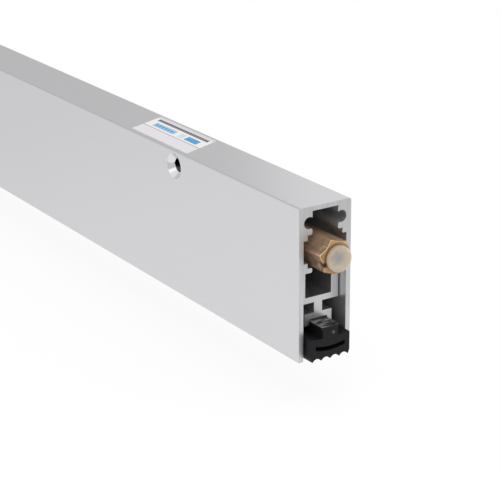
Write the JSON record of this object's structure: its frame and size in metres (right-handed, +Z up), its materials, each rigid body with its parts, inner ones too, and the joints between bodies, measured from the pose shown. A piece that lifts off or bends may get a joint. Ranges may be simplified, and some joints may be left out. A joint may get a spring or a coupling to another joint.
{
  "type": "automatic door bottom seal",
  "caption": "Aluminium door bottom seal: a spring-loaded plunger and link arms drop a ridged rubber strip to the floor as the door closes.",
  "frame": {"origin": "centre of the housing's back face, which lies against the door", "axes": "+X along the door towards the plunger, +Y into the door, +Z up; the countersunk front face looks to -Y"},
  "size_m": [0.3446, 0.015, 0.0391],
  "materials": {
    "housing": "satin anodised extrusion",
    "rail": "mill-finish extrusion",
    "rivet_aluminium": "bright",
    "label": "smooth coated paper",
    "guide_nylon": "moulded black nylon",
    "tip_nylon": "natural milky nylon",
    "steel": "bright drawn steel",
    "spring_steel": "drawn spring wire",
    "link_steel": "zinc-plated stamping",
    "block_zinc": "die-cast zinc",
    "brass": "machined bar",
    "rubber": "extruded black rubber"
  },
  "bodies": {
    "housing_body": {"housing": "housing", "label": "label", "front_guide": "guide_nylon", "rear_guide": "guide_nylon", "front_guide_screw": "steel", "rear_guide_screw": "steel"},
    "push_body": {"push_rod": "steel", "spring_collar": "steel", "collar_screw": "steel", "return_spring": "spring_steel", "front_slide_block": "block_zinc", "rear_slide_block": "block_zinc", "front_block_screw": "steel", "rear_block_screw": "steel", "front_upper_pin": "steel", "rear_upper_pin": "steel"},
    "tip_body": {"plunger_tip": "tip_nylon"},
    "adjuster_body": {"adjuster_hex": "brass"},
    "front_link_body": {"front_link_room_side": "link_steel", "front_link_door_side": "link_steel", "front_lower_pin": "steel"},
    "rear_link_body": {"rear_link_room_side": "link_steel", "rear_link_door_side": "link_steel", "rear_lower_pin": "steel"},
    "carrier_body": {"carrier_rail": "rail", "seal_strip": "rubber", "front_bracket": "block_zinc", "rear_bracket": "block_zinc", "front_bracket_rivets": "rivet_aluminium", "rear_bracket_rivets": "rivet_aluminium"}
  },
  "joints": [
    {"name": "plunger_push", "type": "slide", "parent": "housing_body", "child": "push_body", "axis": [-1, 0, 0], "range_m": [0, 0.005], "stiffness_N_per_m": 1200, "springref_m": -0.0065, "deforming": ["return_spring"]},
    {"name": "adjuster_travel", "type": "slide", "parent": "push_body", "child": "tip_body", "axis": [1, 0, 0], "range_m": [-0.003, 0.003]},
    {"name": "adjuster_turn", "type": "hinge", "parent": "tip_body", "child": "adjuster_body", "pos_m": [0.1675, -0.0075, 0.0074], "axis": [1, 0, 0], "range_deg": [-1543, 1543]},
    {"name": "front_link_swing", "type": "hinge", "parent": "push_body", "child": "front_link_body", "pos_m": [0.1024, -0.0075, 0.0032], "axis": [0, -1, 0], "range_deg": [0, 26.15]},
    {"name": "rear_link_swing", "type": "hinge", "parent": "push_body", "child": "rear_link_body", "pos_m": [-0.04, -0.0075, 0.0032], "axis": [0, -1, 0], "range_deg": [0, 26.15]},
    {"name": "carrier_drop", "type": "slide", "parent": "housing_body", "child": "carrier_body", "axis": [0, 0, -1], "range_m": [0, 0.01164]}
  ],
  "couplings": [
    {"joint": "carrier_drop", "follows": "plunger_push", "ratio": 2.3272},
    {"joint": "front_link_swing", "follows": "plunger_push", "rad_per_m": 91.252},
    {"joint": "rear_link_swing", "follows": "plunger_push", "rad_per_m": 91.252},
    {"joint": "adjuster_turn", "follows": "adjuster_travel", "rad_per_m": 8976}
  ]
}
